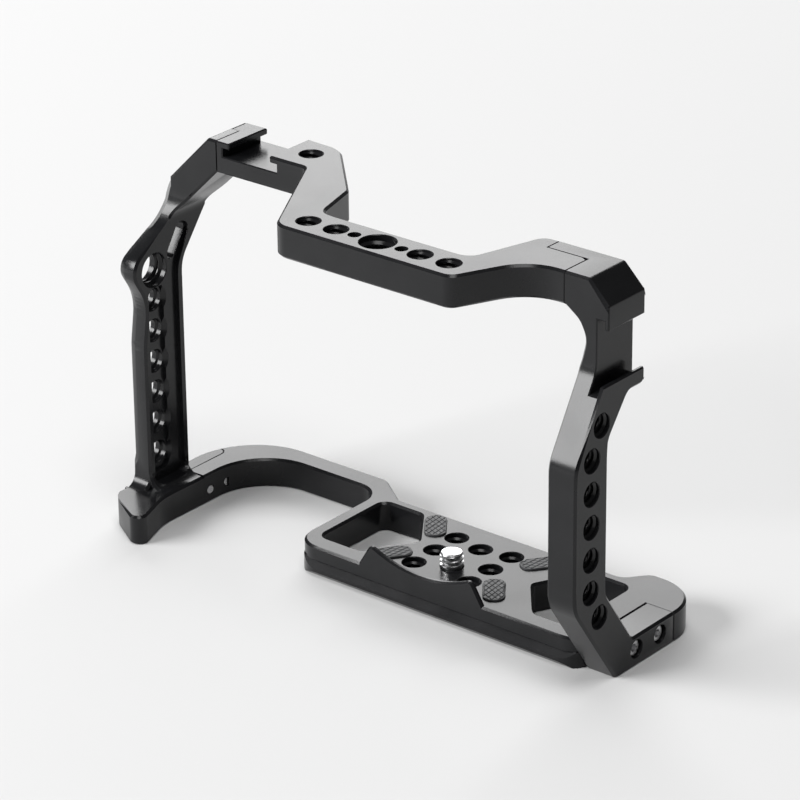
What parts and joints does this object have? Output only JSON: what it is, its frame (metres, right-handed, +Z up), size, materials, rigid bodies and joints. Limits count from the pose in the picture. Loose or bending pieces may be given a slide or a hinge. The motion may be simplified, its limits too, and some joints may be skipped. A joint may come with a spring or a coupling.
{
  "type": "camera cage",
  "caption": "Metal frame around a camera body: base plate with captive screw, uprights, top bar, tapped holes, accessory shoes and a dovetail foot.",
  "frame": {"origin": "where the axis of the camera screw meets the camera seat, the top of the base plate", "axes": "+X away from the grip side, to the right seen from the lens side; +Y towards the camera's back; +Z up along the camera screw"},
  "size_m": [0.1607, 0.0651, 0.109],
  "materials": {
    "black_anodised": "satin",
    "pad_rubber": "matte",
    "bright_steel": "polished",
    "dark_washer": "matte"
  },
  "bodies": {
    "cage": {"base_plate": "black_anodised", "grip_side_frame": "black_anodised", "top_bar": "black_anodised", "far_side_frame": "black_anodised", "pad_rear_left": "pad_rubber", "pad_rear_right": "pad_rubber", "pad_front_left": "pad_rubber", "pad_front_right": "pad_rubber", "far_foot_screw_front": "bright_steel", "far_foot_screw_rear": "bright_steel", "grip_foot_screw_front": "bright_steel", "grip_foot_screw_rear": "bright_steel", "grip_top_screw_front": "bright_steel", "grip_top_screw_rear": "bright_steel", "far_top_screw_inner": "bright_steel", "far_top_screw_outer": "bright_steel"},
    "washer": {"screw_washer": "dark_washer"},
    "screw": {"camera_screw": "bright_steel"}
  },
  "joints": [
    {"name": "screw_lift", "type": "slide", "parent": "cage", "child": "washer", "axis": [0, 0, 1], "range_m": [0, 0.0012]},
    {"name": "screw_turn", "type": "hinge", "parent": "washer", "child": "screw", "pos_m": [0, 0, 0], "axis": [0, 0, 1], "continuous": true}
  ]
}
